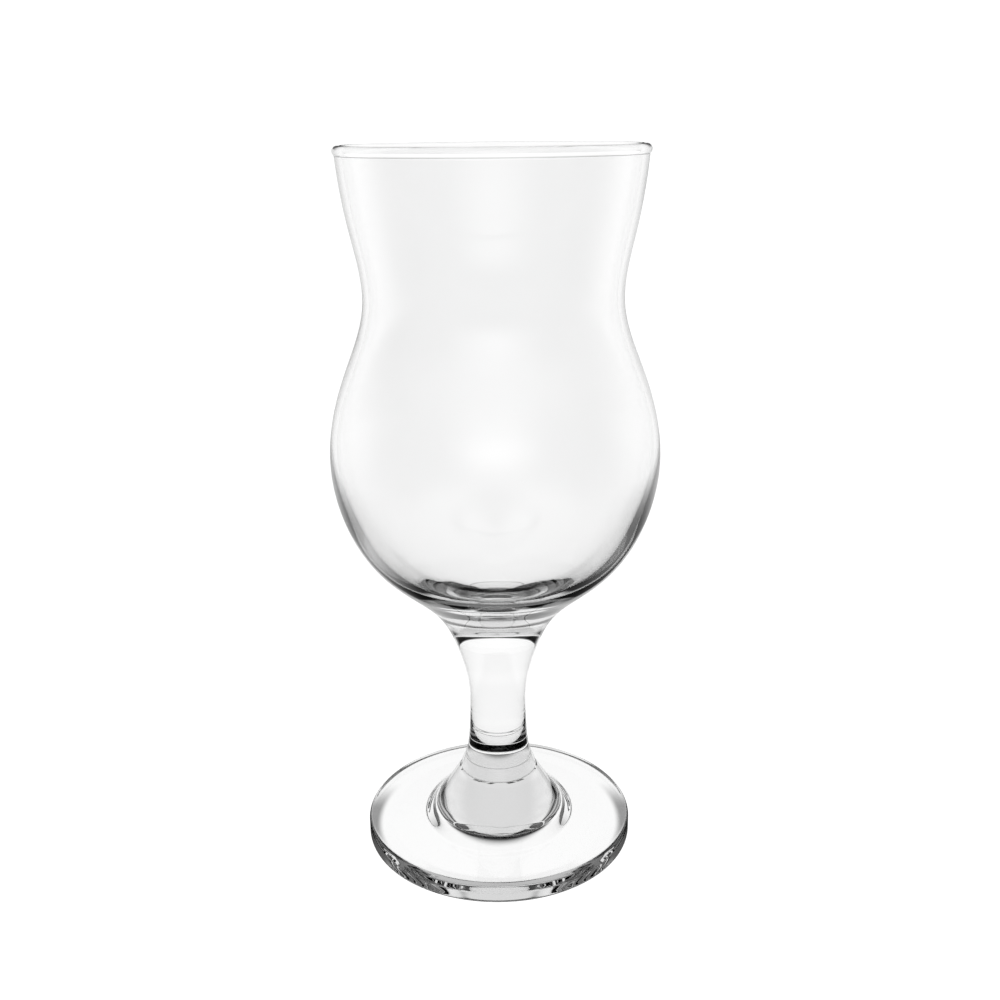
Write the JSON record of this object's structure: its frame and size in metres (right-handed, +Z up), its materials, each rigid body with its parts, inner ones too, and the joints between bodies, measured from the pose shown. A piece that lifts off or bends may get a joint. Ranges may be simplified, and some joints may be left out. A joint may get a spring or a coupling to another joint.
{
  "type": "hurricane glass",
  "caption": "Clear hurricane glass for mixed drinks: a tall tulip bowl with a round belly, a waist and a flared beaded lip, on a short solid stem, a collar and a thick round foot.",
  "frame": {"origin": "centre of the standing ring under the foot, on the table", "axes": "+Z up along the axis of the glass, through the middle of the mouth; X and Y are any two level directions"},
  "size_m": [0.0838, 0.0838, 0.185],
  "materials": {
    "blown_glass": "clear, fire-polished",
    "pressed_glass": "clear, pressed, faint chill marks"
  },
  "bodies": {
    "root": {"bowl": "blown_glass", "stem": "pressed_glass", "collar": "pressed_glass", "foot": "pressed_glass"}
  },
  "joints": []
}
